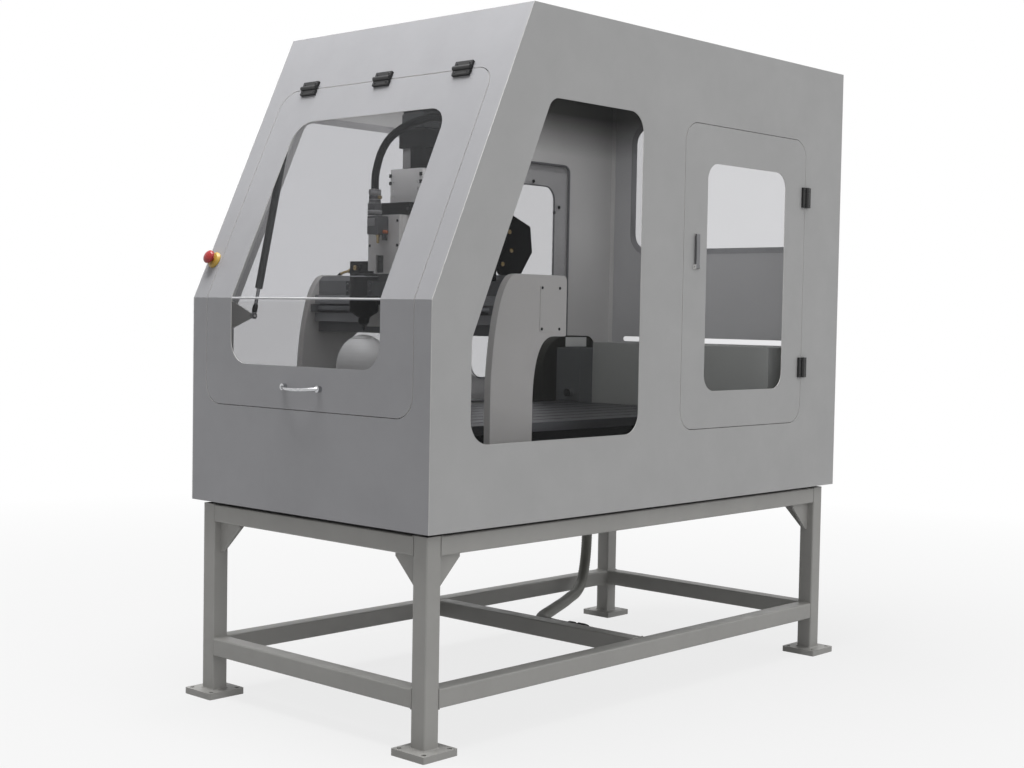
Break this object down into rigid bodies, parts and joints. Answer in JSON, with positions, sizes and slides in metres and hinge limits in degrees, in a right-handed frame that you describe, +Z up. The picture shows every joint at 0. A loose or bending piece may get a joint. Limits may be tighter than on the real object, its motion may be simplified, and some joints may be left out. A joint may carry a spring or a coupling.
{
  "type": "desktop cnc router",
  "caption": "Enclosed table-top router: a gantry machine in a sheet-metal cabinet with a bent front door and a side door, on a welded tube stand.",
  "frame": {"origin": "centre of the cabinet's footprint, on the floor under the foot plates", "axes": "+X to the machine's right, +Y from the front door to the back, +Z up"},
  "size_m": [1.0021, 1.9338, 1.924],
  "materials": {
    "light_paint": "satin",
    "side_paint": "satin",
    "stand_paint": "satin",
    "pane": "gloss",
    "black_paint": "satin",
    "machine_paint": "satin",
    "dark_paint": "matt",
    "bright_steel": "polished",
    "strut_paint": "gloss",
    "yellow_plastic": "matt",
    "red_plastic": "gloss",
    "conduit_grey": "matt",
    "conduit_black": "matt",
    "rubber": "matt",
    "table_aluminium": "anodised",
    "carriage_aluminium": "satin",
    "work_plastic": "matt"
  },
  "bodies": {
    "base": {"legs": "stand_paint", "top_frame": "stand_paint", "lower_rails": "stand_paint", "cross_rail": "stand_paint", "mount_pads": "rubber", "floor_pan": "side_paint", "side_panel_left": "side_paint", "side_panel_right": "side_paint", "front_panel": "light_paint", "roof_panel": "light_paint", "rear_panel": "side_paint", "windows_left": "pane", "window_right": "pane", "window_rear": "pane", "front_hinge_bases": "black_paint", "strut_cabinet_brackets": "bright_steel", "side_hinge_bases": "black_paint", "estop_collar": "yellow_plastic", "floor_conduit": "conduit_grey", "conduit_fittings": "black_paint", "conduit_connector": "black_paint", "bed_frame": "black_paint", "table": "table_aluminium", "y_rails": "bright_steel", "rear_housing": "side_paint", "drive_box": "dark_paint", "cable_hood": "black_paint", "work_piece": "work_plastic"},
    "front_door": {"front_door": "light_paint", "front_door_window": "pane", "front_door_handle": "bright_steel", "front_hinge_leaves": "black_paint", "strut_door_brackets": "bright_steel"},
    "strut_rod": {"strut_rods": "bright_steel"},
    "strut_cylinder": {"strut_cylinders": "strut_paint"},
    "side_door": {"side_door": "side_paint", "side_door_window": "pane", "side_hinge_leaves": "black_paint"},
    "side_latch": {"side_door_latch": "bright_steel"},
    "estop_button": {"estop_button": "red_plastic"},
    "gantry": {"gantry_side_left": "machine_paint", "gantry_side_right": "machine_paint", "access_plate": "machine_paint", "y_blocks": "carriage_aluminium", "x_beam": "dark_paint", "x_rails": "bright_steel", "x_drive_plate": "black_paint", "x_motor": "dark_paint", "cable_block": "conduit_black"},
    "x_screw": {"x_screw": "bright_steel"},
    "carriage": {"carriage": "carriage_aluminium", "z_housing": "machine_paint", "z_motor_mount": "black_paint", "z_motor_cover": "machine_paint", "z_motor": "dark_paint", "spindle_conduit": "conduit_black"},
    "spindle": {"spindle_slide": "carriage_aluminium", "spindle_body": "dark_paint"},
    "rotor": {"collet_nut": "dark_paint", "tool": "bright_steel"}
  },
  "joints": [
    {"name": "front_door_hinge", "type": "hinge", "parent": "base", "child": "front_door", "pos_m": [0, -0.67086, 1.75853], "axis": [-1, 0, 0], "range_deg": [0, 75]},
    {"name": "strut_rod_pivot", "type": "hinge", "parent": "base", "child": "strut_rod", "pos_m": [0, -0.807, 1.096], "axis": [1, 0, 0], "range_deg": [-1, 16.25]},
    {"name": "strut_extend", "type": "slide", "parent": "strut_rod", "child": "strut_cylinder", "axis": [0, 0.2117, 0.9773], "range_m": [-0.001, 0.1435]},
    {"name": "side_door_hinge", "type": "hinge", "parent": "base", "child": "side_door", "pos_m": [0.498, 0.724, 1.2335], "axis": [0, 0, 1], "range_deg": [0, 110]},
    {"name": "side_latch_pivot", "type": "hinge", "parent": "side_door", "child": "side_latch", "pos_m": [0.495, 0.14, 1.263], "axis": [0, 1, 0], "range_deg": [0, 22]},
    {"name": "estop_press", "type": "slide", "parent": "base", "child": "estop_button", "axis": [0, 0.9106, -0.4132], "range_m": [0, 0.005], "stiffness_N_per_m": 800},
    {"name": "y_axis", "type": "slide", "parent": "base", "child": "gantry", "axis": [0, 1, 0], "range_m": [0, 0.86]},
    {"name": "x_axis", "type": "slide", "parent": "gantry", "child": "carriage", "axis": [1, 0, 0], "range_m": [-0.26, 0.24]},
    {"name": "x_screw_spin", "type": "hinge", "parent": "gantry", "child": "x_screw", "pos_m": [0, -0.585, 1.12225], "axis": [1, 0, 0], "continuous": true},
    {"name": "z_axis", "type": "slide", "parent": "carriage", "child": "spindle", "axis": [0, 0, 1], "range_m": [-0.01, 0.1]},
    {"name": "spindle_spin", "type": "hinge", "parent": "spindle", "child": "rotor", "pos_m": [-0.017, -0.71, 1.062], "axis": [0, 0, 1], "continuous": true}
  ],
  "couplings": [
    {"joint": "strut_rod_pivot", "follows": "front_door_hinge", "ratio": 0.20328},
    {"joint": "strut_extend", "follows": "front_door_hinge", "m_per_rad": 0.10886},
    {"joint": "x_screw_spin", "follows": "x_axis", "rad_per_m": 314.16}
  ]
}
